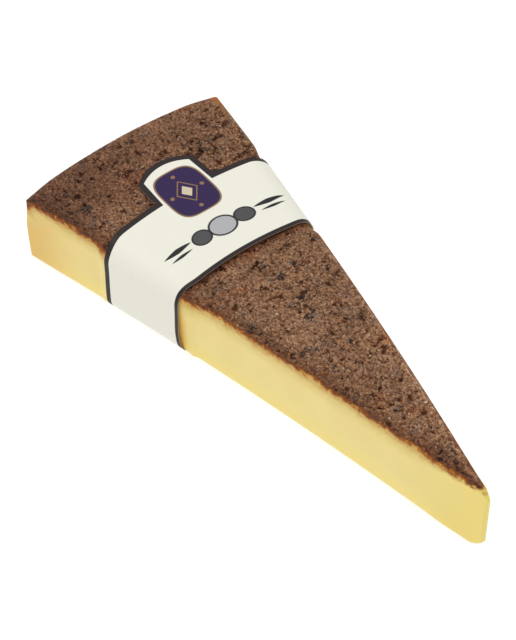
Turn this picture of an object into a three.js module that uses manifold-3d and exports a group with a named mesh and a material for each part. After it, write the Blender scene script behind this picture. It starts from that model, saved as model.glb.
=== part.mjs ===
// A wedge of truffle-coated gouda in its paper belly band.
// Millimetres, +Z up. The narrow tip points along +X, the round heel along -X, and the cut sides face -Y and +Y.
// Everything is laid out from the centre of the wheel that the wedge was cut from, then moved so that the origin
// is at the middle of the foot.

import * as THREE from 'three';
import { mergeVertices } from 'three/addons/utils/BufferGeometryUtils.js';
import Module from 'manifold-3d';

const wasm = await Module();
wasm.setup();

// The wheel, and how the wedge was cut from it
const wheelRadius = 176;
const wheelHeight = 30.4;
const openingAngle = THREE.MathUtils.degToRad(24.42);
const nearCutBow = 2.3; // how far each cut has drifted towards +Y at half its length
const farCutBow = 2.1;
const tipRadius = 1; // the tip is lost this far from the wheel's centre
const tipWidth = 0.4; // what the two cuts would leave between them at the centre

// Roundings of the edges
const shoulderRadius = 4.2; // between the top and the heel
const heelFootRadius = 2.4;
const cutTopRadius = 1.6; // along the cut sides, at the top and at the foot
const cutFootRadius = 3.3;
const tipTopRadius = 6;
const tipFootRadius = 9;

// The granular coat on top, as lumps on a floor that lies below the nominal top
const coatDepth = 0.75;
const lumpCount = 520;
const lumpSize = { least: 3, most: 8 };
const lowestLump = 0.35; // as a share of the coat's depth
const coatSeed = 29;

// The paper band round the wedge
const bandFront = 111.5; // its two edges, measured from the wheel's centre
const bandBack = 143;
const paperThickness = 0.35;
const paperStand = { top: 0.9, side: 1.7 }; // from the cheese to the outside of the paper
const paperCorner = { top: 7.4, foot: 7 }; // outside bend radii of the paper
const floorClearance = 0.1; // between the paper and the surface that the wedge rests on

// The paper's tab, a tongue with an arched end that lies on the coat
const tab = { centre: 3.3, rootWidth: 22.3, endWidth: 21.2, corners: 152.7, crown: 156.6, overlap: 2 };

// How the band squeezes the cheese
const pressedTopRadius = 4.8;
const pressedFootRadius = 5.4;
const squeezeLength = 5; // over which the squeezed edges run out beyond the band
const groove = { margin: 0.35, wall: 0.3, depth: floorClearance + paperThickness + 0.3 }; // in the foot

// Fineness of the meshes
const cheeseSteps = { across: 22, corner: 3 };
const bandSteps = { across: 12, corner: 8 };
const rowSpacing = 2.9;
const endSteps = { tip: 7, heel: 4 };
const bandRows = 4;
const archSteps = 12;

const halfAngle = openingAngle / 2;
const { clamp, lerp, smoothstep } = THREE.MathUtils;

// Where the two cuts run, at a distance from the wheel's centre
const bowAt = (radius, bow) => (4 * bow * radius * (wheelRadius - radius)) / wheelRadius ** 2;
const halfWidth = (radius) => tipWidth / 2 + radius * Math.sin(halfAngle);
const nearCut = (radius) => -halfWidth(radius) + bowAt(radius, nearCutBow);
const farCut = (radius) => halfWidth(radius) + bowAt(radius, farCutBow);

// What a rounded edge takes off at a distance inside it
function roundedOff(distance, round) {
  const inside = clamp(round - distance, 0, round);
  return round - Math.sqrt(round * round - inside * inside);
}

// 1 under the band, running out to 0 beyond it
function squeezeAt(radius) {
  const beyond = Math.max(bandFront - radius, radius - bandBack, 0);
  return 1 - smoothstep(beyond, 0, squeezeLength);
}

// How deep the foot is grooved at a distance from the wheel's centre, so that the band doesn't carry the wedge
function grooveAt(radius) {
  const inside = Math.min(radius - bandFront, bandBack - radius) + groove.margin + groove.wall;
  return groove.depth * clamp(inside / groove.wall, 0, 1);
}

// A small seeded generator of numbers from 0 to 1
function seededRandom(seed) {
  let state = seed;
  return () => {
    state = (state + 0x6d2b79f5) | 0;
    let mixed = Math.imul(state ^ (state >>> 15), 1 | state);
    mixed = (mixed + Math.imul(mixed ^ (mixed >>> 7), 61 | mixed)) ^ mixed;
    return ((mixed ^ (mixed >>> 14)) >>> 0) / 2 ** 32;
  };
}

// The coat's lumps, spread evenly over the top
function scatterLumps() {
  const random = seededRandom(coatSeed);
  return Array.from({ length: lumpCount }, () => {
    const radius = wheelRadius * Math.sqrt(random());
    const y = lerp(nearCut(radius), farCut(radius), random());
    const x = -Math.sqrt(radius * radius - y * y);
    const size = lerp(lumpSize.least, lumpSize.most, random() ** 2);
    return { x, y, size, height: lerp(lowestLump, 1, random()) };
  });
}

// How far the coat lies below the nominal top at a point
function coatRelief(lumps, x, y) {
  let height = 0;
  for (const lump of lumps) {
    const away = ((x - lump.x) ** 2 + (y - lump.y) ** 2) / lump.size ** 2;
    if (away < 1) height = Math.max(height, lump.height * (1 - away) ** 2);
  }
  return coatDepth * (1 - height);
}

// One half of a section, from the near side to the far side: a straight level with a quarter circle at each end.
// inward is -1 below a top and 1 above a foot.
function halfOutline(near, far, level, inward, nearRound, farRound, steps) {
  const points = [];
  const putCorner = (side, edge, round, step) => {
    const angle = (Math.PI / 2) * (step / steps.corner);
    const z = level + inward * round * (1 - Math.sin(angle));
    points.push({ y: edge - side * round * (1 - Math.cos(angle)), z });
  };
  for (let step = 0; step <= steps.corner; step++) putCorner(-1, near, nearRound, step);
  for (let step = 1; step <= steps.across; step++) {
    points.push({ y: lerp(near + nearRound, far - farRound, step / steps.across), z: level });
  }
  for (let step = steps.corner - 1; step >= 0; step--) putCorner(1, far, farRound, step);
  return points;
}

// One closed ring of points on a cylinder round the wheel's axis, its upper half first, then its lower half back
function sectionRing({ radius, near, far, top, foot, topCorner, nearFoot, farFoot }, steps) {
  const widest = 0.36 * (far - near);
  const [topRound, nearRound, farRound] = [topCorner, nearFoot, farFoot].map((round) => Math.min(round, widest));
  const upper = halfOutline(near, far, top, -1, topRound, topRound, steps);
  const lower = halfOutline(near, far, foot, 1, nearRound, farRound, steps);
  return [...upper, ...lower.reverse()].map(
    ({ y, z }) => new THREE.Vector3(-Math.sqrt(radius * radius - y * y), y, z)
  );
}

// A closed mesh through rings that follow each other from the tip towards the heel. Each end is closed by strips
// between the ring's upper half and its lower half.
function loft(rings) {
  const size = rings[0].length;
  const index = [];
  for (let row = 0; row + 1 < rings.length; row++) {
    for (let k = 0; k < size; k++) {
      const a = row * size + k;
      const b = row * size + ((k + 1) % size);
      index.push(a, b, a + size, b, b + size, a + size);
    }
  }
  for (const end of [0, rings.length - 1]) {
    for (let k = 0; k + 1 < size / 2; k++) {
      const [upper, nextUpper] = [end * size + k, end * size + k + 1];
      const [lower, nextLower] = [end * size + size - 1 - k, end * size + size - 2 - k];
      const strip = [lower, nextLower, nextUpper, lower, nextUpper, upper];
      index.push(...(end === 0 ? strip : strip.reverse()));
    }
  }
  const positions = rings.flatMap((ring) => ring.flatMap((point) => point.toArray()));
  const geometry = new THREE.BufferGeometry();
  geometry.setAttribute('position', new THREE.Float32BufferAttribute(positions, 3));
  geometry.setIndex(index);
  return geometry;
}

function toSolid(geometry) {
  const bare = geometry.clone();
  bare.deleteAttribute('normal');
  bare.deleteAttribute('uv');
  const merged = mergeVertices(bare, 1e-4);
  const vertProperties = new Float32Array(merged.attributes.position.array);
  const triVerts = new Uint32Array(merged.index.array);
  return new wasm.Manifold(new wasm.Mesh({ numProp: 3, vertProperties, triVerts }));
}

function toGeometry(solid) {
  const mesh = solid.getMesh();
  const geometry = new THREE.BufferGeometry();
  geometry.setAttribute('position', new THREE.Float32BufferAttribute(mesh.vertProperties, 3));
  geometry.setIndex(new THREE.Uint32BufferAttribute(mesh.triVerts, 1));
  return geometry;
}

// The distances from the wheel's centre at which the cheese has a ring: close together round its ends and at the
// groove's walls, and evenly spaced between them
function cheeseRows() {
  const rows = [];
  const roundEnd = (end, inward, round, steps) => {
    for (let step = 0; step <= steps; step++) {
      rows.push(end + inward * round * (1 - Math.sin((Math.PI / 2) * (step / steps))));
    }
  };
  roundEnd(tipRadius, 1, tipFootRadius, endSteps.tip);
  roundEnd(wheelRadius, -1, shoulderRadius, endSteps.heel);
  for (const [edge, outward] of [[bandFront, -1], [bandBack, 1]]) {
    rows.push(edge + outward * groove.margin, edge + outward * (groove.margin + groove.wall));
  }
  const first = tipRadius + tipFootRadius;
  const last = wheelRadius - shoulderRadius;
  const count = Math.round((last - first) / rowSpacing);
  for (let step = 1; step < count; step++) {
    const radius = lerp(first, last, step / count);
    if (rows.every((row) => Math.abs(row - radius) > rowSpacing / 3)) rows.push(radius);
  }
  return rows.sort((a, b) => a - b);
}

// The wedge itself: the wheel's sector with its cut, worn and squeezed edges and the coat's relief on top
function cheeseGeometry() {
  const lumps = scatterLumps();
  const rings = cheeseRows().map((radius) => {
    const [fromTip, fromHeel] = [radius - tipRadius, wheelRadius - radius];
    const squeeze = squeezeAt(radius);
    const footOff = roundedOff(fromTip, tipFootRadius) + roundedOff(fromHeel, heelFootRadius);
    const footRound = lerp(cutFootRadius, pressedFootRadius, squeeze);
    const section = {
      radius,
      near: nearCut(radius),
      far: farCut(radius),
      top: wheelHeight - roundedOff(fromTip, tipTopRadius) - roundedOff(fromHeel, shoulderRadius),
      foot: Math.max(footOff, grooveAt(radius)),
      topCorner: lerp(cutTopRadius, pressedTopRadius, squeeze),
      nearFoot: footRound,
      farFoot: footRound + bowAt(radius, farCutBow), // the bowed cut leaves the foot straight
    };
    const ring = sectionRing(section, cheeseSteps);
    for (const point of ring.slice(0, ring.length / 2)) {
      const raised = clamp((point.z - section.top) / section.topCorner + 1, 0, 1);
      point.z -= raised * coatRelief(lumps, point.x, point.y);
    }
    return ring;
  });
  return loft(rings);
}

// The space inside the band's outer or inner face, from one distance to another
function bandCore(front, back, inset) {
  const rings = Array.from({ length: bandRows + 1 }, (_, row) => {
    const radius = lerp(front, back, row / bandRows);
    return sectionRing(
      {
        radius,
        near: nearCut(radius) - paperStand.side + inset,
        far: farCut(radius) + paperStand.side - inset,
        top: wheelHeight + paperStand.top - inset,
        foot: floorClearance + inset,
        topCorner: paperCorner.top - inset,
        nearFoot: paperCorner.foot - inset,
        farFoot: paperCorner.foot - inset,
      },
      bandSteps
    );
  });
  return toSolid(loft(rings));
}

function tabGeometry() {
  const at = (radius, y) => [-Math.sqrt(radius * radius - y * y), y];
  const [root, end] = [tab.rootWidth / 2, tab.endWidth / 2];
  const outline = new THREE.Shape();
  outline.moveTo(...at(bandBack - tab.overlap, tab.centre + root));
  outline.lineTo(...at(tab.corners, tab.centre + end));
  const crown = 2 * tab.crown - tab.corners; // the curve's control point lies as far beyond its crown again
  outline.quadraticCurveTo(...at(crown, tab.centre), ...at(tab.corners, tab.centre - end));
  outline.lineTo(...at(bandBack - tab.overlap, tab.centre - root));
  const plate = new THREE.ExtrudeGeometry(outline, {
    depth: paperThickness,
    bevelEnabled: false,
    curveSegments: archSteps,
  });
  return plate.translate(0, 0, wheelHeight + paperStand.top - paperThickness);
}

function bandGeometry() {
  const sleeve = bandCore(bandFront, bandBack, 0).subtract(bandCore(bandFront - 1, bandBack + 1, paperThickness));
  return toGeometry(sleeve.add(toSolid(tabGeometry())));
}

const pasteMaterial = new THREE.MeshStandardMaterial({ color: 0xe8d48c, roughness: 0.55, metalness: 0 });
const paperMaterial = new THREE.MeshStandardMaterial({ color: 0xefecdd, roughness: 0.7, metalness: 0 });

function namedMesh(name, geometry, material) {
  const mesh = new THREE.Mesh(geometry, material);
  mesh.name = name;
  return mesh;
}

const wedge = new THREE.Group();
wedge.add(namedMesh('cheese', cheeseGeometry(), pasteMaterial));
wedge.add(namedMesh('paper_band', bandGeometry(), paperMaterial));

// The origin at the middle of the foot
const box = new THREE.Box3().setFromObject(wedge);
const middle = box.getCenter(new THREE.Vector3());
wedge.position.set(-middle.x, -middle.y, -box.min.z);

export default wedge;
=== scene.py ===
import math
import random

import bmesh
import bpy
import numpy as np
from mathutils import Euler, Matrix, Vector
from mathutils.bvhtree import BVHTree


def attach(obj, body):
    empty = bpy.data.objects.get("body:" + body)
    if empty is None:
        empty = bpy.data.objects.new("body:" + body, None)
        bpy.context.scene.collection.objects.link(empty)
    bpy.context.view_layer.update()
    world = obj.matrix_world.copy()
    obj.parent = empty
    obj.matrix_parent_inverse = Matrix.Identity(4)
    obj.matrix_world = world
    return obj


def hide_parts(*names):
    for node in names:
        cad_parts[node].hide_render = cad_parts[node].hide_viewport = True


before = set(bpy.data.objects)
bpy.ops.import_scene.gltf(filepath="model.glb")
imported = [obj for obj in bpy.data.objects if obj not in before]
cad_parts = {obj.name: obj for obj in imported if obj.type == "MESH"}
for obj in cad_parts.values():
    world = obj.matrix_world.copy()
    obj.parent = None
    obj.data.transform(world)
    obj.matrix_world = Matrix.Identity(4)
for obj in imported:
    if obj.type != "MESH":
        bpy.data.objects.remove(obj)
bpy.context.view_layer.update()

mm = 0.001

# The wheel that the wedge was cut from. Its axis stands upright at x,
# and r below is the distance from that axis.
wheel = {
    "x": 88.444 * mm,
    "radius": 176 * mm,
    "height": 30.4 * mm,
    "opening": math.radians(24.42),
    "nearBow": 2.3 * mm,
    "farBow": 2.45 * mm,
    "tip": 1 * mm,  # the tip is lost this far from the axis
    "tipWidth": 0.4 * mm,  # what the two cuts would leave between them at the axis
}

# The paper's edges, as distances from the same axis
bandFront = 111.5 * mm
bandBack = 143 * mm


# Small helpers

def selectOnly(*pieces):
    if bpy.context.object and bpy.context.object.mode != "OBJECT":
        bpy.ops.object.mode_set(mode="OBJECT")
    bpy.ops.object.select_all(action="DESELECT")
    for piece in pieces:
        piece.select_set(True)
    if pieces:
        bpy.context.view_layer.objects.active = pieces[0]


def settle(piece, name):
    # names the piece and puts its place into its mesh
    selectOnly(piece)
    bpy.ops.object.transform_apply(location=True, rotation=True, scale=True)
    piece.name = name
    piece.data.name = name
    return piece


def editFaces(piece, test):
    # enters edit mode with only the faces selected that pass the test
    selectOnly(piece)
    bpy.ops.object.mode_set(mode="EDIT")
    bpy.ops.mesh.select_mode(type="FACE")
    bpy.ops.mesh.select_all(action="DESELECT")
    edited = bmesh.from_edit_mesh(piece.data)
    for face in edited.faces:
        face.select_set(test(face.calc_center_median(), face.normal))
    bmesh.update_edit_mesh(piece.data)


def editEdges(piece, test):
    selectOnly(piece)
    bpy.ops.object.mode_set(mode="EDIT")
    bpy.ops.mesh.select_mode(type="EDGE")
    bpy.ops.mesh.select_all(action="DESELECT")
    edited = bmesh.from_edit_mesh(piece.data)
    for edge in edited.edges:
        edge.select_set(test(edge.verts[0].co, edge.verts[1].co))
    bmesh.update_edit_mesh(piece.data)


def sliceAcross(place, direction):
    # cuts new edges all the way round, without opening the mesh
    bpy.ops.mesh.select_all(action="SELECT")
    bpy.ops.mesh.bisect(plane_co=place, plane_no=direction)


def endEdit():
    bpy.ops.object.mode_set(mode="OBJECT")


def modify(piece, kind, **settings):
    selectOnly(piece)
    modifier = piece.modifiers.new(kind.title(), kind)
    for name, value in settings.items():
        setattr(modifier, name, value)
    bpy.ops.object.modifier_apply(modifier=modifier.name)


def readPoints(piece):
    points = np.empty(len(piece.data.vertices) * 3, dtype=np.float32)
    piece.data.vertices.foreach_get("co", points)
    return points.reshape(-1, 3).astype(float)


def writePoints(piece, points):
    piece.data.vertices.foreach_set("co", points.astype(np.float32).ravel())
    piece.data.update()


def keepValues(piece, name, values):
    layer = piece.data.attributes.new(name, "FLOAT", "POINT")
    layer.data.foreach_set("value", values.astype(np.float32))


def smoothStep(value, low, high):
    share = np.clip((value - low) / (high - low), 0, 1)
    return share * share * (3 - 2 * share)


def halfWidth(r):
    return wheel["tipWidth"] / 2 + r * math.sin(wheel["opening"] / 2)


def bowAt(r, bow):
    return 4 * bow * r * (wheel["radius"] - r) / wheel["radius"] ** 2


def nearLine(r):
    # where the near cut runs, seen from above
    return bowAt(r, wheel["nearBow"]) - halfWidth(r)


def farLine(r):
    return bowAt(r, wheel["farBow"]) + halfWidth(r)


def toPolar(points):
    x, y, z = points.T
    return np.hypot(x - wheel["x"], y), y, z


def fromPolar(r, y, z):
    return np.stack([wheel["x"] - np.sqrt(np.maximum(r * r - y * y, 0)), y, z], axis=1)


# Camera, light and floor

view = {
    "azimuth": 51.28,
    "elevation": 51.63,
    "target": (-0.01859, 0.00407, 0.0),
    "distance": 0.5650,
    "lens": 101.25,
}


def placeCamera():
    turn, rise = math.radians(view["azimuth"]), math.radians(view["elevation"])
    back = Vector((math.sin(turn) * math.cos(rise), -math.cos(turn) * math.cos(rise), math.sin(rise)))
    camera = bpy.data.objects.new("camera", bpy.data.cameras.new("camera"))
    camera.data.lens = view["lens"]
    camera.data.sensor_width = 36
    camera.location = Vector(view["target"]) + back * view["distance"]
    camera.rotation_euler = (-back).to_track_quat("-Z", "Y").to_euler()
    bpy.context.collection.objects.link(camera)
    bpy.context.scene.camera = camera


studio = {
    "surround": 0.56,
    "lamps": {  # place, width, watts
        "keyLamp": ((-0.7, -0.4, 1.1), 0.6, 4.5),
        "topLamp": ((0.1, 0.15, 1.3), 0.9, 4.0),
    },
    "floorSize": 4.0,
    "floorGlow": 0.85,
}


def lightStudio():
    world = bpy.data.worlds.new("surround")
    bpy.context.scene.world = world
    world.use_nodes = True
    surround = world.node_tree.nodes["Background"]
    surround.inputs["Color"].default_value = (1, 1, 1, 1)
    surround.inputs["Strength"].default_value = studio["surround"]
    for name, (place, width, watts) in studio["lamps"].items():
        lamp = bpy.data.lights.new(name, "AREA")
        lamp.shape = "DISK"
        lamp.size = width
        lamp.energy = watts
        holder = bpy.data.objects.new(name, lamp)
        holder.location = place
        holder.rotation_euler = (-Vector(place)).to_track_quat("-Z", "Y").to_euler()
        bpy.context.collection.objects.link(holder)
    bpy.context.scene.view_settings.view_transform = "Standard"


def layFloor():
    selectOnly()
    bpy.ops.mesh.primitive_plane_add(size=studio["floorSize"], location=(0, 0, 0))
    floor = settle(bpy.context.object, "floor")
    floor.data.materials.append(floorMaterial())


# Shader helpers

def tone(red, green, blue):
    # a colour as it looks on screen, 0 to 255, made linear
    def linear(level):
        share = level / 255
        return share / 12.92 if share <= 0.04045 else ((share + 0.055) / 1.055) ** 2.4
    return (linear(red), linear(green), linear(blue), 1.0)


def addNode(tree, kind, feed=None, **settings):
    made = tree.nodes.new("ShaderNode" + kind)
    for name, value in settings.items():
        setattr(made, name, value)
    for name, value in (feed or {}).items():
        if isinstance(value, bpy.types.NodeSocket):
            tree.links.new(value, made.inputs[name])
        else:
            made.inputs[name].default_value = value
    return made


def calc(tree, operation, first, second=0.0, third=0.0):
    return addNode(tree, "Math", {0: first, 1: second, 2: third}, operation=operation).outputs[0]


def fade(tree, value, low, high, start=0.0, end=1.0):
    feed = {"Value": value, "From Min": low, "From Max": high, "To Min": start, "To Max": end}
    return addNode(tree, "MapRange", feed, interpolation_type="SMOOTHSTEP").outputs["Result"]


def between(tree, value, rise, fall):
    # 1 between the end of the rise and the start of the fall, 0 beyond them
    return calc(tree, "MULTIPLY", fade(tree, value, *rise), fade(tree, value, *fall, 1.0, 0.0))


def mixTones(tree, share, first, second, how="MIX"):
    return addNode(tree, "Mix", {0: share, 6: first, 7: second}, data_type="RGBA", blend_type=how).outputs[2]


def shade(tree, colour, level):
    # multiplies a colour by a level
    grey = addNode(tree, "CombineColor", {0: level, 1: level, 2: level}).outputs[0]
    return mixTones(tree, 1.0, colour, grey, "MULTIPLY")


def deepen(tree, colour, share, depths):
    # multiplies a colour by the depths where the share is 1, and leaves it where the share is 0
    tint = mixTones(tree, share, (1.0, 1.0, 1.0, 1.0), (*depths, 1.0))
    return mixTones(tree, 1.0, colour, tint, "MULTIPLY")


def fillRamp(ramp, stops):
    # puts a ramp's colours at their places
    elements = ramp.color_ramp.elements
    elements.remove(elements[1])
    elements[0].position, elements[0].color = stops[0]
    for place, colour in stops[1:]:
        elements.new(place).color = colour


def cloud(tree, place, scale, detail=2.0, roughness=0.5, distortion=0.0):
    feed = {"Vector": place, "Scale": scale, "Detail": detail, "Roughness": roughness}
    feed["Distortion"] = distortion
    return addNode(tree, "TexNoise", feed).outputs[0]


def stored(tree, name):
    return addNode(tree, "Attribute", attribute_name=name).outputs["Fac"]


def newMaterial(name):
    material = bpy.data.materials.new(name)
    material.use_nodes = True
    tree = material.node_tree
    return material, tree, tree.nodes["Principled BSDF"]


def newGroup(name, inputs, outputs):
    group = bpy.data.node_groups.new(name, "ShaderNodeTree")
    for label, value in inputs.items():
        kind = "NodeSocketVector" if isinstance(value, tuple) else "NodeSocketFloat"
        group.interface.new_socket(label, in_out="INPUT", socket_type=kind).default_value = value
    for label, kind in outputs.items():
        group.interface.new_socket(label, in_out="OUTPUT", socket_type=kind)
    return group, group.nodes.new("NodeGroupInput").outputs, group.nodes.new("NodeGroupOutput").inputs


def useGroup(tree, group, feed):
    return addNode(tree, "Group", feed, node_tree=group).outputs


# Shader groups

def speckleGroup():
    # fine grain at two sizes: Level is 0 to 1 round a half, Height feeds a bump
    group, given, out = newGroup(
        "speckle",
        {"Place": (0.0, 0.0, 0.0), "Scale": 1000.0, "Sharpness": 0.5},
        {"Level": "NodeSocketFloat", "Height": "NodeSocketFloat"},
    )
    coarse = cloud(group, given["Place"], given["Scale"], 2.0, 0.6)
    fine = cloud(group, given["Place"], calc(group, "MULTIPLY", given["Scale"], 2.7), 2.0, 0.6)
    both = calc(group, "MULTIPLY_ADD", fine, 0.45, calc(group, "MULTIPLY", coarse, 0.55))
    low = calc(group, "MULTIPLY", given["Sharpness"], 0.5)
    high = calc(group, "SUBTRACT", 1.0, low)
    group.links.new(fade(group, both, low, high), out["Level"])
    group.links.new(both, out["Height"])
    return group


def printedShapeGroup():
    # a printed shape on the paper, in millimetres: 1 is a lozenge, 2 an oval, 6 nearly a rectangle
    group, given, out = newGroup(
        "printed shape",
        {"Across": 0.0, "Along": 0.0, "Centre Across": 0.0, "Centre Along": 0.0, "Half Width": 1.0,
         "Half Length": 1.0, "Squareness": 2.0, "Blur": 0.05},
        {"Mask": "NodeSocketFloat"},
    )
    def reach(axis, centre, half):
        away = calc(group, "ABSOLUTE", calc(group, "SUBTRACT", given[axis], given[centre]))
        return calc(group, "POWER", calc(group, "DIVIDE", away, given[half]), given["Squareness"])
    acrossReach = reach("Across", "Centre Across", "Half Width")
    alongReach = reach("Along", "Centre Along", "Half Length")
    total = calc(group, "ADD", acrossReach, alongReach)
    level = calc(group, "POWER", total, calc(group, "DIVIDE", 1.0, given["Squareness"]))
    low = calc(group, "SUBTRACT", 1.0, given["Blur"])
    high = calc(group, "ADD", 1.0, given["Blur"])
    group.links.new(fade(group, level, low, high, 1.0, 0.0), out["Mask"])
    return group


speckle = speckleGroup()
printedShape = printedShapeGroup()


# The cheese

cheese = {
    "voxel": 1.2 * mm,
    "cutTop": 1.6 * mm,  # radii of the rounded edges
    "cutFoot": 3.3 * mm,
    "pressedTop": 4.8 * mm,
    "pressedFoot": 5.4 * mm,
    "squeeze": (6 * mm, 1.8 * mm),  # how far beyond the paper the pressed top and foot run out
    "sideBulges": (0.9 * mm, 0.0),  # how far the near and the far cut side swell towards the paper
    "bulgeDepth": 8 * mm,
    "bulgeRunOut": 4 * mm,
    "shoulder": (5.0 * mm, 4.2 * mm, 5.5 * mm),  # at the near cut, in the middle and at the far cut
    "shoulderBlends": (13 * mm, 9 * mm),  # over which the first and the last of those fade
    "heelFoot": 2.4 * mm,
    "heelSides": (1.0 * mm, 4.6 * mm),
    "heelCorner": 1.9 * mm,  # added to the near one of those towards the top
    "cornerRise": (16 * mm, 28 * mm),
    "heelBulge": 0.7 * mm,
    "heelBulgeReach": 14 * mm,
    "heelBulgeHeight": (11 * mm, 15 * mm),  # its middle, and how far it runs up and down
    "tipTop": 6 * mm,
    "tipFoot": 8.5 * mm,
    "tipLean": 1.5 * mm,  # how far the tip's foot lies to the far side of its top
    "leanReach": 20 * mm,
    "channel": 0.75 * mm,  # depth of the pressed channel in the foot, which the paper lies in
    "fineBelow": 3.4 * mm,  # the mesh is finer down to this depth below the top
}


def cutWedge():
    # a wheel with its two cuts, and the tip taken off
    selectOnly()
    radius, height = wheel["radius"], wheel["height"]
    middle = (wheel["x"], 0, height / 2)
    bpy.ops.mesh.primitive_cylinder_add(vertices=360, radius=radius, depth=height, location=middle)
    wedge = settle(bpy.context.object, "cheeseWedge")
    half = wheel["opening"] / 2
    bpy.ops.object.mode_set(mode="EDIT")
    cuts = [
        ((wheel["x"], -wheel["tipWidth"] / 2, 0), (math.sin(half), -math.cos(half), 0)),
        ((wheel["x"], wheel["tipWidth"] / 2, 0), (math.sin(half), math.cos(half), 0)),
        ((wheel["x"] - wheel["tip"], 0, 0), (1, 0, 0)),
    ]
    for place, outward in cuts:
        bpy.ops.mesh.select_all(action="SELECT")
        bpy.ops.mesh.bisect(plane_co=place, plane_no=outward, use_fill=True, clear_outer=True)
    endEdit()
    return wedge


def squeezeAt(r, runOut):
    beyond = np.maximum(np.maximum(bandFront - r, r - bandBack), 0)
    return 1 - smoothStep(beyond, 0, runOut)


def roundEdge(insideA, insideB, radius):
    # moves what lies outside a quarter circle between two faces onto it
    awayA, awayB = radius - insideA, radius - insideB
    length = np.hypot(awayA, awayB)
    outside = (awayA > 0) & (awayB > 0) & (length > radius)
    share = np.where(outside, radius / np.maximum(length, 1e-9), 1)
    return radius - awayA * share, radius - awayB * share


def shapeWedge(wedge):
    # rounds and presses the cut wedge, and returns how deep below the skin each point lies
    r, y, z = toPolar(readPoints(wedge))
    y = nearLine(r) + (y / halfWidth(r) + 1) / 2 * (farLine(r) - nearLine(r))  # the bow of the two cuts
    topRunOut, footRunOut = cheese["squeeze"]
    topRound = cheese["cutTop"] + (cheese["pressedTop"] - cheese["cutTop"]) * squeezeAt(r, topRunOut)
    footRound = cheese["cutFoot"] + (cheese["pressedFoot"] - cheese["cutFoot"]) * squeezeAt(r, footRunOut)
    widest = 0.36 * (farLine(r) - nearLine(r))
    fromHeel, fromTip = wheel["radius"] - r, r - wheel["tip"]
    atNear, inMiddle, atFar = cheese["shoulder"]
    nearBlend, farBlend = cheese["shoulderBlends"]
    rho = inMiddle + (atNear - inMiddle) * (1 - smoothStep(y - nearLine(r), 0, nearBlend))
    rho += (atFar - inMiddle) * (1 - smoothStep(farLine(r) - y, 0, farBlend))
    below, fromHeel = roundEdge(wheel["height"] - z, fromHeel, rho)
    z, fromHeel = roundEdge(wheel["height"] - below, fromHeel, cheese["heelFoot"])
    r = wheel["radius"] - fromHeel
    inShoulder = (fromHeel < rho) & (below < rho)
    skin = np.where(inShoulder, rho - np.hypot(rho - fromHeel, rho - below), np.minimum(fromHeel, below))
    below, fromTip = roundEdge(wheel["height"] - z, r - wheel["tip"], cheese["tipTop"])
    z, fromTip = roundEdge(wheel["height"] - below, fromTip, cheese["tipFoot"])
    r = np.where(fromTip < 8 * mm, fromTip + wheel["tip"], r)

    farFoot = footRound + bowAt(r, wheel["farBow"])  # the bowed cut leaves the foot straight
    nearHeel, farHeel = cheese["heelSides"]
    nearHeel = nearHeel + cheese["heelCorner"] * smoothStep(z, *cheese["cornerRise"])
    nearBulge, farBulge = cheese["sideBulges"]
    sides = ((nearLine, 1, footRound, nearHeel, nearBulge), (farLine, -1, farFoot, farHeel, farBulge))
    for line, side, footCorner, heelSide, bulge in sides:
        inside = side * (y - line(r))
        inside, heelward = roundEdge(inside, wheel["radius"] - r, heelSide)
        r = wheel["radius"] - heelward
        below, inside = roundEdge(wheel["height"] - z, inside, np.minimum(topRound, widest))
        z, inside = roundEdge(wheel["height"] - below, inside, np.minimum(footCorner, widest))
        swell = bulge * squeezeAt(r, cheese["bulgeRunOut"])
        swell *= 1 - smoothStep(inside, 0, cheese["bulgeDepth"])
        y = line(r) + side * (inside - swell)
    inBand = smoothStep(np.minimum(r - bandFront, bandBack - r), -1.7 * mm, -0.5 * mm)
    z = np.maximum(z, cheese["channel"] * inBand)
    nearPart = 1 - smoothStep((y - nearLine(r)) / (farLine(r) - nearLine(r)), 0.1, 0.4)
    middle, reach = cheese["heelBulgeHeight"]
    bulge = cheese["heelBulge"] * np.maximum(1 - ((z - middle) / reach) ** 2, 0.5 * nearPart)
    r = r + bulge * smoothStep(r, wheel["radius"] - cheese["heelBulgeReach"], wheel["radius"])
    points = fromPolar(r, y, z)
    towardsFoot = 1 - z / wheel["height"]
    points[:, 1] += cheese["tipLean"] * towardsFoot * (1 - smoothStep(r, 2 * mm, cheese["leanReach"]))
    writePoints(wedge, points)
    return skin


def measureWedge(wedge, skin):
    # what the material needs to know of each point, in millimetres, taken before the coat gets its relief
    r, y, z = toPolar(readPoints(wedge))
    below = wheel["height"] - z
    cut = np.minimum(y - nearLine(r), farLine(r) - y)
    values = {"skinDepth": skin, "belowTop": below, "wheelRadius": r, "cutDistance": cut}
    for name, depth in values.items():
        keepValues(wedge, name, depth / mm)
    values["sideways"] = (y - nearLine(r)) / (farLine(r) - nearLine(r))
    keepValues(wedge, "sideways", values["sideways"])
    return values


def keepGroup(piece, name, weights):
    group = piece.vertex_groups.new(name=name)
    levels = np.round(np.clip(weights, 0, 1) * 20).astype(int)
    for level in range(1, 21):
        chosen = np.nonzero(levels == level)[0]
        if len(chosen):
            group.add(chosen.tolist(), level / 20, "REPLACE")


def coatTexture(name, kind, size, **settings):
    texture = bpy.data.textures.new(name, kind)
    texture.noise_scale = size
    for key, value in settings.items():
        setattr(texture, key, value)
    return texture


def onlyAbove(texture, low, high):
    # keeps only the texture's high places
    texture.use_color_ramp = True
    first, last = texture.color_ramp.elements
    first.position, first.color = low, (0, 0, 0, 1)
    last.position, last.color = high, (1, 1, 1, 1)


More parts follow.
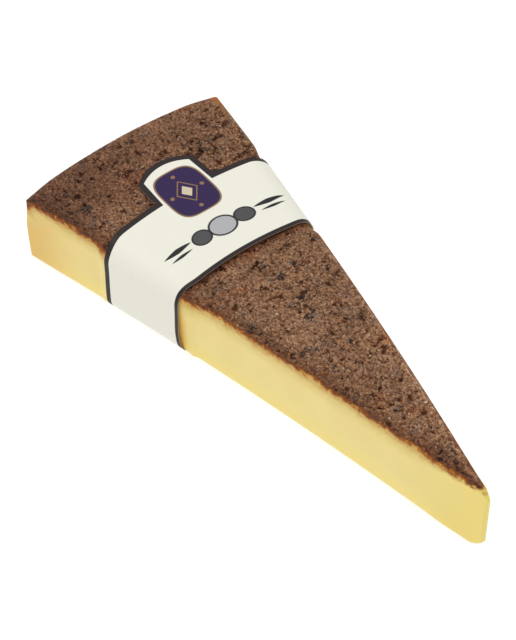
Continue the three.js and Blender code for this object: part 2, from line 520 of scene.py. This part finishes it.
coat = {
    "swells": (8 * mm, 0.7 * mm),  # size, height
    "lumps": (3.2 * mm, 0.5 * mm),
    "grains": (0.9 * mm, 0.35 * mm),
    "pits": (1.8 * mm, 1.3 * mm),
    "creases": (4.5 * mm, 0.3 * mm),
    "sink": 0.35 * mm,  # how far the coat's middle lies below the nominal top
    "tipEnd": 5.2,  # the coat ends this far from the axis, in millimetres
    "skinFade": (0.6 * mm, 2.6 * mm),  # depths below the skin over which the relief ends
    "sideFade": (4.5 * mm, 8 * mm),  # the same below the top, down the cut sides
    "cutFades": (1.6 * mm, 2.4 * mm),  # how wide it fades at the near cut, and what the far one adds
    "heelFade": (7 * mm, 2 * mm),
    "pressedRunOut": 5 * mm,
}


def raiseCoat(wedge, values):
    r, below, skin = values["wheelRadius"], values["belowTop"], values["skinDepth"]
    cover = 1 - smoothStep(skin, *coat["skinFade"])
    cover *= 1 - smoothStep(below, *coat["sideFade"])
    farSide = smoothStep(values["sideways"], 0.4, 0.6)
    cover *= smoothStep(values["cutDistance"], -0.1 * mm, coat["cutFades"][0] + coat["cutFades"][1] * farSide)
    inner, outer = coat["heelFade"]
    cover *= 0.25 + 0.75 * (1 - smoothStep(r, wheel["radius"] - inner, wheel["radius"] - outer))
    cover *= smoothStep(r, (coat["tipEnd"] - 0.8) * mm, (coat["tipEnd"] + 1.5) * mm)
    underPaper = smoothStep(np.minimum(r - bandFront, bandBack - r), 0, 2 * mm)
    cover *= 1 - 0.7 * squeezeAt(r, coat["pressedRunOut"]) * underPaper
    keepGroup(wedge, "coat", cover)

    def displace(part, texture, direction="Z", sign=1, middle=0.5):
        modify(
            wedge, "DISPLACE", texture=texture, strength=sign * coat[part][1], mid_level=middle,
            direction=direction, vertex_group="coat", texture_coords="LOCAL",
        )

    displace("swells", coatTexture("swells", "CLOUDS", coat["swells"][0], noise_depth=1))
    displace("lumps", coatTexture("lumps", "CLOUDS", coat["lumps"][0], noise_depth=1))
    before = readPoints(wedge)[:, 2]
    grains = coatTexture("grains", "VORONOI", coat["grains"][0], distance_metric="DISTANCE")
    displace("grains", grains, sign=-1, middle=0.45)
    pits = coatTexture("pits", "CLOUDS", coat["pits"][0], noise_depth=2)
    onlyAbove(pits, 0.64, 0.78)
    displace("pits", pits, sign=-1, middle=0)
    creases = coatTexture("creases", "CLOUDS", coat["creases"][0], noise_depth=2, noise_type="HARD_NOISE")
    onlyAbove(creases, 0.0, 0.22)
    displace("creases", creases, middle=1.0)
    points = readPoints(wedge)
    keepValues(wedge, "relief", (points[:, 2] - before) / mm)
    points[:, 2] -= coat["sink"] * cover
    writePoints(wedge, points)
    wedge.vertex_groups.clear()


coatLook = {
    "grain": 1450.0,  # crumbs to the metre
    "fineGrain": 1900.0,
    "browns": (
        (0.0, tone(92, 54, 30)), (0.3, tone(142, 100, 69)), (0.7, tone(165, 124, 90)),
        (0.95, tone(180, 140, 107)), (1.0, tone(194, 154, 121)),
    ),
    "bloom": tone(104, 95, 92),
    # painted shade: darkens the browns where the crumbs meet
    "gapShade": (0.6, 0.52, 0.43),  # these and the next ones multiply the browns
    "redness": (1.07, 0.81, 0.6),
    # painted shade for the low places of the coat's relief
    "hollowShade": (0.44, 0.3, 0.2),
    "nearEdge": (0.66, 0.52, 0.39),
    "farEdge": (1.3, 1.36, 1.4),
    # painted shadow of the paper on the coat beside the band
    "bandShade": (0.6, 0.42, 0.28),
    "heelward": (0.58, 0.48, 0.42),
    "tip": (0.86, 0.79, 0.74),
}

pasteLook = {
    "paste": (tone(243, 220, 137), tone(247, 225, 144)),
    "foot": tone(252, 228, 130),
    "tip": tone(243, 220, 116),
    "heelward": tone(229, 184, 84),
    # painted warm shade for the paste just in front of the paper's edge
    "bandShade": tone(242, 188, 76),
    "rind": (tone(172, 120, 66), tone(198, 150, 92)),
    "farCorner": (tone(150, 104, 46), tone(176, 96, 38)),
    "stain": (
        (0.05, tone(86, 42, 20)), (0.13, tone(122, 60, 14)), (0.2, tone(160, 90, 20)),
        (0.27, tone(192, 134, 42)), (0.37, tone(212, 172, 78)), (0.56, tone(228, 202, 118)),
    ),
}


def coatBrowns(tree, place):
    # crumbs of many browns with painted shade between them, and soft patches of grey-blue and of red
    feed = {"Vector": place, "Scale": coatLook["grain"]}
    cells = addNode(tree, "TexVoronoi", feed)
    gapShade = addNode(tree, "TexVoronoi", feed, feature="DISTANCE_TO_EDGE")
    shades = addNode(tree, "SeparateColor", {0: cells.outputs["Color"]}).outputs
    ramp = addNode(tree, "ValToRGB", {0: shades[0]})
    fillRamp(ramp, coatLook["browns"])
    browns = ramp.outputs[0]
    grain = useGroup(tree, speckle, {"Place": place, "Scale": coatLook["fineGrain"], "Sharpness": 0.6})
    browns = shade(tree, browns, fade(tree, grain["Level"], 0.0, 1.0, 0.72, 1.22))
    # painted shade where the crumbs meet
    browns = deepen(tree, browns, fade(tree, gapShade.outputs[0], 0.0, 0.14, 1.0, 0.0), coatLook["gapShade"])
    wide = fade(tree, cloud(tree, place, 75.0, 3.0, 0.6), 0.35, 0.65, 0.86, 1.1)
    browns = shade(tree, browns, wide)
    redness = fade(tree, cloud(tree, place, 125.0, 3.0, 0.6), 0.53, 0.72)
    browns = deepen(tree, browns, redness, coatLook["redness"])
    dusty = fade(tree, cloud(tree, place, 290.0, 2.0, 0.5, 0.4), 0.6, 0.72, 0.0, 0.65)
    bloom = shade(tree, coatLook["bloom"], fade(tree, grain["Level"], 0.0, 1.0, 0.55, 1.2))
    browns = mixTones(tree, dusty, browns, bloom)
    return browns, grain["Height"]


def edgeTones(tree, browns, past, radius, sideways):
    # the coat is darker towards the near cut and at the heel, lighter along the far cut, and beside the band
    # it carries a painted shadow of the paper
    near = calc(tree, "MULTIPLY", fade(tree, past, -5.0, -1.0), fade(tree, sideways, 0.4, 0.6, 1.0, 0.0))
    browns = deepen(tree, browns, near, coatLook["nearEdge"])
    far = calc(tree, "MULTIPLY", fade(tree, past, -3.0, -0.5), fade(tree, sideways, 0.4, 0.6))
    browns = deepen(tree, browns, far, coatLook["farEdge"])
    # painted shadow of the paper on the coat beside the band
    beside = between(tree, radius, (108.0, 111.5), (143.0, 145.5))
    browns = deepen(tree, browns, beside, coatLook["bandShade"])
    heelward = fade(tree, sideways, 0.1, 0.8, 1.0, 0.4)
    heelward = calc(tree, "MULTIPLY", fade(tree, radius, 136.0, 166.0), heelward)
    browns = deepen(tree, browns, heelward, coatLook["heelward"])
    return deepen(tree, browns, fade(tree, radius, 10.0, 40.0, 1.0, 0.0), coatLook["tip"])


def coatedCheese():
    material, tree, shader = newMaterial("coated gouda")
    place = addNode(tree, "TexCoord").outputs["Object"]
    skin, below = stored(tree, "skinDepth"), stored(tree, "belowTop")
    radius, cut, relief = stored(tree, "wheelRadius"), stored(tree, "cutDistance"), stored(tree, "relief")
    sideways = stored(tree, "sideways")

    browns, grainHeight = coatBrowns(tree, place)
    # painted shade: the low places of the coat's relief are darkened
    browns = deepen(tree, browns, fade(tree, relief, -0.6, 0.1, 1.0, 0.0), coatLook["hollowShade"])

    # the paste: pale yellow, deeper towards the foot and tanned towards the heel
    mottle = fade(tree, cloud(tree, place, 60.0, 3.0, 0.5), 0.3, 0.7)
    paste = mixTones(tree, mottle, *pasteLook["paste"])
    paste = mixTones(tree, fade(tree, below, 18.0, 27.0, 0.0, 0.75), paste, pasteLook["foot"])
    paste = mixTones(tree, fade(tree, radius, 32.0, 3.0, 0.0, 0.9), paste, pasteLook["tip"])
    paste = mixTones(tree, fade(tree, radius, 150.0, 176.0, 0.0, 0.8), paste, pasteLook["heelward"])
    # painted warm shade on the paste just in front of the paper's edge, where it dips under the paper
    bandShadeStreak = between(tree, radius, (109.6, 112.6), (115.0, 117.0))
    bandShadeStreak = calc(tree, "MULTIPLY", bandShadeStreak, fade(tree, below, 5.0, 17.0, 0.3, 0.75))
    paste = mixTones(tree, bandShadeStreak, paste, pasteLook["bandShade"])

    # how far a point lies past the coat's edge, in millimetres: below 0 on the coat, above it on the sides
    overShoulder = calc(tree, "MULTIPLY", calc(tree, "SUBTRACT", below, 2.6), 0.8)
    overTip = calc(tree, "SUBTRACT", coat["tipEnd"], radius)
    buried = calc(tree, "MAXIMUM", skin, calc(tree, "MAXIMUM", overShoulder, overTip))
    inward = calc(tree, "MULTIPLY", cut, fade(tree, buried, 0.1, 0.6, 1.0, 0.0))
    past = calc(tree, "SUBTRACT", buried, inward)
    pressed = between(tree, radius, (102.0, 111.5), (143.0, 148.0))
    rollOver = fade(tree, sideways, 0.3, 0.7, 1.8, 3.0)
    past = calc(tree, "SUBTRACT", past, calc(tree, "MULTIPLY", pressed, rollOver))
    jag = calc(tree, "SUBTRACT", cloud(tree, place, 620.0, 3.0, 0.6), 0.5)
    sway = calc(tree, "SUBTRACT", cloud(tree, place, 130.0, 2.0), 0.5)
    wander = calc(tree, "MULTIPLY_ADD", jag, 7.0, calc(tree, "MULTIPLY", sway, 5.0))
    wander = calc(tree, "MULTIPLY", wander, fade(tree, past, 1.0, 4.0, 1.0, 0.45))
    past = calc(tree, "MULTIPLY_ADD", wander, fade(tree, past, -2.5, 0.5), past)
    past = calc(tree, "SUBTRACT", past, fade(tree, past, 0.0, 1.5, 0.0, 0.5))
    past = calc(tree, "ADD", past, fade(tree, radius, 34.0, 8.0, 0.0, 0.8))

    # the coat darkens towards its edge, and its oil has stained the paste below it
    browns = edgeTones(tree, browns, past, radius, sideways)
    stain = addNode(tree, "ValToRGB", {0: calc(tree, "DIVIDE", calc(tree, "ADD", past, 1.0), 10.0)})
    fillRamp(stain, pasteLook["stain"])
    colour = mixTones(tree, fade(tree, past, -0.9, 0.4), browns, stain.outputs[0])
    stainFrom = fade(tree, radius, 4.0, 30.0, 0.2, 3.0)
    stainTo = fade(tree, radius, 4.0, 30.0, 2.2, 9.0)
    colour = mixTones(tree, fade(tree, past, stainFrom, stainTo), colour, paste)
    rind = calc(tree, "MULTIPLY", fade(tree, skin, 0.2, 1.3, 0.75, 0.0), fade(tree, past, 1.5, 4.0))
    worn = fade(tree, cloud(tree, place, 140.0, 5.0, 0.65), 0.35, 0.65)
    colour = mixTones(tree, rind, colour, mixTones(tree, worn, *pasteLook["rind"]))
    corner = calc(tree, "MULTIPLY", fade(tree, radius, 160.0, 172.0), fade(tree, cut, 0.8, 3.4, 0.85, 0.0))
    corner = calc(tree, "MULTIPLY", corner, fade(tree, sideways, 0.5, 0.6))
    corner = calc(tree, "MULTIPLY", corner, fade(tree, below, 2.0, 6.0, 1.0, 0.0))
    tanned = mixTones(tree, fade(tree, radius, 167.0, 173.0), *pasteLook["farCorner"])
    colour = mixTones(tree, corner, colour, tanned)
    tree.links.new(colour, shader.inputs["Base Color"])

    pasteShare = fade(tree, past, 0.6, 2.4)
    rough = fade(tree, pasteShare, 0.0, 1.0, 0.8, 0.42)
    tree.links.new(rough, shader.inputs["Roughness"])
    weight = calc(tree, "MULTIPLY", pasteShare, 0.3)
    tree.links.new(weight, shader.inputs["Subsurface Weight"])
    shader.inputs["Subsurface Radius"].default_value = (1.0, 0.6, 0.25)
    shader.inputs["Subsurface Scale"].default_value = 0.003
    shader.inputs["Specular IOR Level"].default_value = 0.4

    waxy = cloud(tree, place, 180.0, 3.0, 0.55)
    feed = {0: pasteShare, 2: grainHeight, 3: calc(tree, "MULTIPLY", waxy, 0.3)}
    height = addNode(tree, "Mix", feed).outputs[0]
    bump = addNode(tree, "Bump", {"Strength": 0.6, "Distance": 0.35 * mm, "Height": height})
    tree.links.new(bump.outputs[0], shader.inputs["Normal"])
    return material


def makeCheese():
    wedge = cutWedge()
    sharp = wedge.copy()
    sharp.data = wedge.data.copy()
    bpy.context.collection.objects.link(sharp)
    modify(wedge, "REMESH", mode="VOXEL", voxel_size=cheese["voxel"])

    def visibleCoat(centre, normal):
        r = math.hypot(centre.x - wheel["x"], centre.y)
        hidden = bandFront + 3 * mm < r < bandBack - 3 * mm
        return centre.z > wheel["height"] - cheese["fineBelow"] and not hidden

    editFaces(wedge, visibleCoat)
    bpy.ops.mesh.subdivide(number_cuts=3)
    endEdit()
    modify(wedge, "SHRINKWRAP", target=sharp, wrap_method="NEAREST_SURFACEPOINT")
    bpy.data.objects.remove(sharp)
    skin = shapeWedge(wedge)
    raiseCoat(wedge, measureWedge(wedge, skin))
    wedge.data.materials.append(coatedCheese())
    selectOnly(wedge)
    bpy.ops.object.shade_smooth()
    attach(wedge, "root")
    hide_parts("cheese")
    print("cheese:", len(wedge.data.polygons), "faces")
    return wedge


# Loose crumbs and truffle chips on the coat

crumbs = {
    "count": 5200,
    "sizes": (0.2 * mm, 0.5 * mm),  # radii, mostly near the small end
    "sunk": 0.5,  # share of the radius that lies below the surface
    "margins": (0.4 * mm, 1.9 * mm, 4.5 * mm),  # kept free along the near cut, the far cut and the heel
    "seed": 11,
    "browns": (  # mostly the coat's own, and the last for a few pale grains
        (0.0, tone(68, 42, 26)), (0.25, tone(130, 92, 64)), (0.6, tone(162, 123, 92)),
        # the last, pale stop gives a few grains that are partly pale crystals and partly a painted highlight
        # standing for glints
        (0.97, tone(180, 142, 110)), (0.993, tone(190, 152, 122)), (1.0, tone(220, 198, 178)),
    ),
}

chips = {
    "clusters": 38,
    "spread": 0.9 * mm,
    "count": 140,
    "sizes": (0.25 * mm, 0.95 * mm),
    "sunk": 0.84,
    "margins": (1.2 * mm, 2.5 * mm, 6 * mm),
    "seed": 5,
    "blacks": (tone(54, 36, 26), tone(92, 74, 62)),
}


def onBareCoat(r, y):
    # true where the paper doesn't cover the coat
    underBand = bandFront - 0.2 * mm < r < bandBack + 0.2 * mm
    underTab = r < band["tabCrown"] and r > bandFront and abs(y - band["tabCentre"]) < band["tabRoot"]
    return not (underBand or underTab)


def coatPlaces(wedge, kind, draw):
    # places over the bare coat, evenly or in clusters, each with the direction that the surface faces there
    nearMargin, farMargin, heelMargin = kind["margins"]
    tree = BVHTree.FromObject(wedge, bpy.context.evaluated_depsgraph_get())
    centres = []
    places = []
    while len(places) < kind["count"]:
        r = wheel["radius"] * math.sqrt(draw.random())
        y = draw.uniform(nearLine(r), farLine(r))
        if len(centres) < kind.get("clusters", 0):
            centres.append((r, y))
        if centres:
            r, y = draw.choice(centres)
            r += draw.gauss(0, kind["spread"])
            y += draw.gauss(0, kind["spread"])
        fromSides = min(y - nearLine(r) - nearMargin, farLine(r) - y - farMargin)
        inside = min(fromSides, wheel["radius"] - r - heelMargin)
        if inside < 0 or r < (coat["tipEnd"] + 1) * mm or not onBareCoat(r, y):
            continue
        x = wheel["x"] - math.sqrt(r * r - y * y)
        spot, normal, _, _ = tree.ray_cast(Vector((x, y, 0.05)), Vector((0, 0, -1)))
        if spot and spot.z > wheel["height"] - 4 * mm:
            places.append((spot, normal))
    return places


def lumpShape(subdivisions):
    # the points and faces of a small round lump
    selectOnly()
    bpy.ops.mesh.primitive_ico_sphere_add(subdivisions=subdivisions, radius=1)
    lump = bpy.context.object
    points = readPoints(lump)
    faces = np.array([face.vertices[:] for face in lump.data.polygons])
    bpy.data.objects.remove(lump)
    return points, faces


def scatterLumps(wedge, name, kind, subdivisions, flatness, raggedness):
    # one mesh of many squashed lumps, each turned at random, with a shade of its own
    draw = random.Random(kind["seed"])
    shuffle = np.random.default_rng(kind["seed"])
    points, faces = lumpShape(subdivisions)
    small, large = kind["sizes"]
    allPoints, allFaces, shades = [], [], []
    for spot, normal in coatPlaces(wedge, kind, draw):
        size = small + (large - small) * draw.random() ** 2.2
        stretch = (draw.uniform(0.75, 1.35), draw.uniform(0.75, 1.35), draw.uniform(*flatness))
        tilt = (draw.uniform(-0.5, 0.5), draw.uniform(-0.5, 0.5), draw.uniform(0, math.tau))
        turn = np.array(Euler(tilt).to_matrix())
        rough = points * (1 + shuffle.uniform(-raggedness, raggedness, (len(points), 1)))
        centre = np.array(spot) + np.array(normal) * size * flatness[0] * (1 - 2 * kind["sunk"])
        allFaces.append(faces + len(points) * len(allPoints))
        allPoints.append((rough * np.array(stretch) * size) @ turn.T + centre)
        shades.append(np.full(len(points), draw.random()))
    mesh = bpy.data.meshes.new(name)
    mesh.from_pydata(np.concatenate(allPoints).tolist(), [], np.concatenate(allFaces).tolist())
    piece = bpy.data.objects.new(name, mesh)
    bpy.context.collection.objects.link(piece)
    keepValues(piece, "shade", np.concatenate(shades))
    r, y, _ = toPolar(readPoints(piece))
    keepValues(piece, "wheelRadius", r / mm)
    keepValues(piece, "past", -np.minimum(y - nearLine(r), farLine(r) - y) / mm)
    keepValues(piece, "sideways", (y - nearLine(r)) / (farLine(r) - nearLine(r)))
    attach(piece, "root")
    print(name + ":", len(mesh.polygons), "faces")
    return piece


def crumbMaterial():
    material, tree, shader = newMaterial("coat crumb")
    place = addNode(tree, "TexCoord").outputs["Object"]
    # the ramp's pale end makes a few crumbs partly a painted highlight standing for glints
    ramp = addNode(tree, "ValToRGB", {0: stored(tree, "shade")})
    fillRamp(ramp, crumbs["browns"])
    grain = useGroup(tree, speckle, {"Place": place, "Scale": coatLook["fineGrain"], "Sharpness": 0.6})
    colour = shade(tree, ramp.outputs[0], fade(tree, grain["Level"], 0.0, 1.0, 0.75, 1.15))
    colour = shade(tree, colour, fade(tree, cloud(tree, place, 75.0, 3.0, 0.6), 0.35, 0.65, 0.86, 1.1))
    past, radius, sideways = (stored(tree, name) for name in ("past", "wheelRadius", "sideways"))
    colour = edgeTones(tree, colour, past, radius, sideways)
    tree.links.new(colour, shader.inputs["Base Color"])
    tree.links.new(fade(tree, grain["Level"], 0.0, 1.0, 0.6, 0.85), shader.inputs["Roughness"])
    return material


def chipMaterial():
    # almost black truffle, a little glossy, with a grey-blue bloom
    material, tree, shader = newMaterial("truffle chip")
    place = addNode(tree, "TexCoord").outputs["Object"]
    bloom = fade(tree, cloud(tree, place, 900.0, 2.0, 0.6), 0.45, 0.7)
    colour = mixTones(tree, bloom, *chips["blacks"])
    colour = shade(tree, colour, fade(tree, stored(tree, "shade"), 0.0, 1.0, 0.75, 1.35))
    tree.links.new(colour, shader.inputs["Base Color"])
    tree.links.new(fade(tree, bloom, 0.0, 1.0, 0.45, 0.7), shader.inputs["Roughness"])
    shader.inputs["Specular IOR Level"].default_value = 0.2
    return material


def makeLooseBits(wedge):
    bits = scatterLumps(wedge, "coatCrumbs", crumbs, 1, (0.5, 0.9), 0.2)
    bits.data.materials.append(crumbMaterial())
    flakes = scatterLumps(wedge, "truffleChips", chips, 2, (0.35, 0.6), 0.35)
    flakes.data.materials.append(chipMaterial())


# The paper band

band = {
    "thickness": 0.35 * mm,
    "standTop": 0.9 * mm,  # from the cheese to the outside of the paper
    "standSide": 1.7 * mm,
    "cornerTop": 7.4 * mm,
    "cornerFoot": 7.5 * mm,
    "clearance": 0.1 * mm,
    "draw": (0.9 * mm, 0.9 * mm),  # how much narrower the sides are, at the front and at the back
    "nearDraw": 0.9 * mm,  # more of the same at the front of the near side
    "farHug": 0.25 * mm,  # how much closer to the cheese the front of the far side lies
    "swell": 0.4 * mm,  # how far the sides stand further out towards the foot
    "halfWidth": 30 * mm,  # of the box that the sleeve starts from
    "slice": 1.5 * mm,
    "tabCentre": 3.3 * mm,
    "tabRoot": 11.15 * mm,  # half widths of the tab
    "tabEnd": 10.6 * mm,
    "tabCorners": 152.7 * mm,
    "tabCrown": 156.6 * mm,
    "frontLine": 1.35,  # widths of the printed lines, in millimetres
    "backLine": 1.9,
    "tabLine": 2.0,
}


def foldSleeve():
    # a box with rounded long edges and open ends, sliced fine enough to follow the wheel's curve
    top = wheel["height"] + band["standTop"]
    length = bandBack - bandFront
    selectOnly()
    middle = (wheel["x"] - bandFront - length / 2, 0, (top + band["clearance"]) / 2)
    bpy.ops.mesh.primitive_cube_add(size=1, location=middle)
    sleeve = bpy.context.object
    sleeve.dimensions = (length, 2 * band["halfWidth"], top - band["clearance"])
    settle(sleeve, "paperBand")

    def longEdge(upper):
        def chosen(a, b):
            sameHalf = (a.z > top / 2) == upper and (b.z > top / 2) == upper
            return sameHalf and abs(a.x - b.x) > length / 2
        return chosen

    for upper, radius in ((True, band["cornerTop"]), (False, band["cornerFoot"])):
        editEdges(sleeve, longEdge(upper))
        bpy.ops.mesh.bevel(offset=radius, segments=10, affect="EDGES")
    editFaces(sleeve, lambda centre, normal: abs(normal.x) > 0.9)
    bpy.ops.mesh.delete(type="ONLY_FACE")

    start = wheel["x"] - bandBack
    for step in range(1, round(length / band["slice"])):
        sliceAcross((start + step * band["slice"], 0, 0), (1, 0, 0))
    across = np.arange(-21, 22.5, 1.5) * mm
    tabSides = [band["tabCentre"] - band["tabRoot"], band["tabCentre"] + band["tabRoot"]]
    for y in [*across, *tabSides]:
        sliceAcross((0, y, 0), (0, 1, 0))
    for z in np.arange(8.5, 23, 1.5) * mm:
        sliceAcross((0, 0, z), (0, 0, 1))
    endEdit()
    return sleeve


def growTab(sleeve):
    # the tab is drawn out of the sleeve's back edge, then arched
    back = wheel["x"] - bandBack

    def tabEdge(a, b):
        low, high = band["tabCentre"] - band["tabRoot"] - 1e-5, band["tabCentre"] + band["tabRoot"] + 1e-5
        atBack = abs(a.x - back) < 1e-5 and abs(b.x - back) < 1e-5
        return atBack and min(a.z, b.z) > 0.025 and low < min(a.y, b.y) and max(a.y, b.y) < high

    editEdges(sleeve, tabEdge)
    steps = 8
    reach = band["tabCorners"] - bandBack
    for _ in range(steps):
        bpy.ops.mesh.extrude_region_move(TRANSFORM_OT_translate={"value": (-reach / steps, 0, 0)})
    endEdit()
    points = readPoints(sleeve)
    x, y = points[:, 0], points[:, 1]
    beyond = wheel["x"] - x - bandBack  # how far a point of the tab lies behind the sleeve
    onTab = beyond > 1e-5
    share = np.clip(beyond / reach, 0, 1)
    sideways = (y - band["tabCentre"]) / band["tabRoot"]
    crown = (band["tabCrown"] - band["tabCorners"]) * (1 - sideways ** 2)
    narrower = 1 + share * (band["tabEnd"] / band["tabRoot"] - 1)
    points[:, 0] = np.where(onTab, x - share * crown, x)
    points[:, 1] = np.where(onTab, band["tabCentre"] + sideways * band["tabRoot"] * narrower, y)
    writePoints(sleeve, points)


def wrapSleeve(sleeve):
    # puts the straight sleeve round the tapered wedge: flat parts stretch, bends keep their radius
    points = readPoints(sleeve)
    y, z = points[:, 1], points[:, 2]
    r = wheel["x"] - points[:, 0]
    keepValues(sleeve, "along", r / mm)
    beside = smoothStep(np.abs(y), band["halfWidth"] - 8 * mm, band["halfWidth"] - 0.5 * mm)
    inSleeve = r < bandBack + 1e-5
    forward = np.clip((bandBack - r) / (bandBack - bandFront), 0, 1)
    front = (band["draw"][0] + np.where(y < 0, band["nearDraw"], 0)) * smoothStep(z, -4 * mm, 14 * mm)
    drawn = r + beside * (front * forward - band["draw"][1] * (1 - forward))
    r = np.where(inSleeve, drawn, r)
    near = nearLine(r) - band["standSide"]
    far = farLine(r) + band["standSide"] - band["farHug"] * forward
    flat = band["halfWidth"] - band["cornerTop"]
    spread = near + band["cornerTop"] + (y + flat) / (2 * flat) * (far - near - 2 * band["cornerTop"])
    edge = band["halfWidth"] - np.abs(y)
    edge -= band["swell"] * smoothStep(24 * mm - z, 0, 16 * mm) * (1 - smoothStep(edge, 3 * mm, 7 * mm))
    wrapped = np.where(np.abs(y) <= flat, spread, np.where(y < 0, near + edge, far - edge))
    onTab = r > bandBack + 1e-5
    wrapped = np.where(onTab, y, wrapped)
    writePoints(sleeve, fromPolar(r, wrapped, z))


def printedPaper():
    material, tree, shader = newMaterial("printed paper")
    place = addNode(tree, "TexCoord").outputs["Object"]
    axes = addNode(tree, "SeparateXYZ", {0: place}).outputs
    along = stored(tree, "along")  # millimetres from the wheel's axis, as printed on the flat paper
    across = calc(tree, "DIVIDE", calc(tree, "SUBTRACT", axes[1], band["tabCentre"]), mm)
    height = calc(tree, "DIVIDE", axes[2], mm)

    fibre = useGroup(tree, speckle, {"Place": place, "Scale": 900.0, "Sharpness": 0.3})
    cream = mixTones(tree, fibre["Level"], tone(239, 237, 221), tone(243, 242, 229))

    # the dark border: what lies outside the cream field of the band and of the tab
    blur = 0.08
    front = calc(tree, "SUBTRACT", along, bandFront / mm + band["frontLine"])
    back = calc(tree, "SUBTRACT", bandBack / mm - band["backLine"], along)
    field = calc(tree, "MULTIPLY", fade(tree, front, -blur, blur), fade(tree, back, -blur, blur))
    sideways = calc(tree, "ABSOLUTE", across)
    narrowing = (band["tabRoot"] - band["tabEnd"]) / (band["tabCorners"] - bandBack)
    past = calc(tree, "SUBTRACT", along, bandBack / mm)
    half = calc(tree, "MULTIPLY_ADD", past, -narrowing, band["tabRoot"] / mm - band["tabLine"])
    side = calc(tree, "SUBTRACT", half, sideways)
    arch = (band["tabCrown"] - band["tabCorners"]) / mm
    bend = calc(tree, "POWER", calc(tree, "DIVIDE", sideways, band["tabEnd"] / mm), 2.0)
    crown = calc(tree, "MULTIPLY_ADD", bend, -arch, band["tabCrown"] / mm - band["tabLine"])
    end = calc(tree, "SUBTRACT", crown, along)
    tabField = calc(tree, "MULTIPLY", fade(tree, side, -blur, blur), fade(tree, end, -blur, blur))
    tabField = calc(tree, "MULTIPLY", tabField, fade(tree, height, 20.0, 21.0))
    tabField = calc(tree, "MULTIPLY", tabField, fade(tree, along, 138.0, 138.5))
    cleared = calc(tree, "MAXIMUM", field, tabField)
    colour = mixTones(tree, cleared, tone(44, 36, 35), cream)

    # the printed ornament: a plaque on the tab and a row of plain shapes below it
    onTop = fade(tree, height, 20.0, 21.0)

    def printShape(colour, ink, centre, half, squareness, blur=0.05):
        feed = {"Across": across, "Along": along, "Centre Across": centre[0], "Centre Along": centre[1],
                "Half Width": half[0], "Half Length": half[1], "Squareness": squareness, "Blur": blur}
        mask = calc(tree, "MULTIPLY", useGroup(tree, printedShape, feed)["Mask"], onTop)
        return mixTones(tree, mask, colour, ink)

    gold, purple = tone(146, 112, 76), tone(48, 31, 78)
    charcoal, grey, silver = tone(40, 38, 40), tone(80, 79, 81), tone(180, 180, 182)
    middle = (0.0, 141.2)
    colour = printShape(colour, gold, middle, (8.3, 10.2), 3.6, 0.015)
    colour = printShape(colour, purple, middle, (7.8, 9.7), 3.6, 0.015)
    colour = printShape(colour, gold, middle, (4.0, 5.2), 1.0, 0.02)
    colour = printShape(colour, purple, middle, (3.5, 4.6), 1.0, 0.02)
    colour = printShape(colour, tone(214, 200, 170), middle, (2.0, 2.6), 1.0, 0.04)
    for dot in ((0.0, 133.9), (0.0, 148.5), (-5.6, 141.2), (5.6, 141.2)):
        colour = printShape(colour, gold, dot, (0.7, 0.7), 2.0, 0.1)
    row = 123.2
    for centre, half, ink in (
        ((0.0, row), (5.0, 4.0), charcoal),
        ((0.0, row), (4.3, 3.4), silver),
        ((-8.0, row), (3.6, 3.0), charcoal),
        ((-8.0, row), (3.0, 2.5), grey),
        ((8.0, row), (3.6, 3.0), charcoal),
        ((8.0, row), (3.0, 2.5), grey),
    ):
        colour = printShape(colour, ink, centre, half, 2.0, 0.04)
    for away in (-17.2, 17.2):
        colour = printShape(colour, charcoal, (away, row + 0.9), (5.4, 0.95), 1.3, 0.06)
        colour = printShape(colour, charcoal, (away, row - 1.5), (4.2, 0.55), 1.3, 0.1)
    tree.links.new(colour, shader.inputs["Base Color"])
    tree.links.new(fade(tree, fibre["Level"], 0.0, 1.0, 0.52, 0.6), shader.inputs["Roughness"])
    shader.inputs["Specular IOR Level"].default_value = 0.3
    bump = addNode(tree, "Bump", {"Strength": 0.12, "Distance": 0.05 * mm, "Height": fibre["Height"]})
    tree.links.new(bump.outputs[0], shader.inputs["Normal"])
    return material


def barePaper(name, light, dark):
    material, tree, shader = newMaterial(name)
    place = addNode(tree, "TexCoord").outputs["Object"]
    fibre = useGroup(tree, speckle, {"Place": place, "Scale": 1400.0, "Sharpness": 0.4})
    tree.links.new(mixTones(tree, fibre["Level"], dark, light), shader.inputs["Base Color"])
    shader.inputs["Roughness"].default_value = 0.8
    bump = addNode(tree, "Bump", {"Strength": 0.3, "Distance": 0.08 * mm, "Height": fibre["Height"]})
    tree.links.new(bump.outputs[0], shader.inputs["Normal"])
    return material


def makeBand():
    sleeve = foldSleeve()
    growTab(sleeve)
    wrapSleeve(sleeve)
    selectOnly(sleeve)
    bpy.ops.object.mode_set(mode="EDIT")
    bpy.ops.mesh.select_all(action="SELECT")
    bpy.ops.mesh.normals_make_consistent(inside=False)
    endEdit()
    sleeve.data.materials.append(printedPaper())
    sleeve.data.materials.append(barePaper("inside of the paper", tone(232, 229, 218), tone(214, 210, 198)))
    cutEdge = barePaper("cut edge of the paper", tone(176, 162, 142), tone(140, 126, 110))
    sleeve.data.materials.append(cutEdge)
    modify(
        sleeve, "SOLIDIFY", thickness=band["thickness"], offset=-1, material_offset=1, material_offset_rim=2,
        use_even_offset=True,
    )
    selectOnly(sleeve)
    bpy.ops.object.shade_smooth_by_angle(angle=math.radians(35))
    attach(sleeve, "root")
    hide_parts("paper_band")
    print("paper band:", len(sleeve.data.polygons), "faces")
    return sleeve


def floorMaterial():
    material, tree, shader = newMaterial("pale floor")
    place = addNode(tree, "TexCoord").outputs["Object"]
    soft = cloud(tree, place, 3.0, 2.0)
    grey = mixTones(tree, soft, tone(134, 134, 134), tone(140, 140, 140))
    tree.links.new(grey, shader.inputs["Base Color"])
    shader.inputs["Roughness"].default_value = 0.9
    shader.inputs["Emission Color"].default_value = (1, 1, 1, 1)
    shader.inputs["Emission Strength"].default_value = studio["floorGlow"]
    return material


placeCamera()
lightStudio()
layFloor()
print("studio ready")
makeLooseBits(makeCheese())
makeBand()
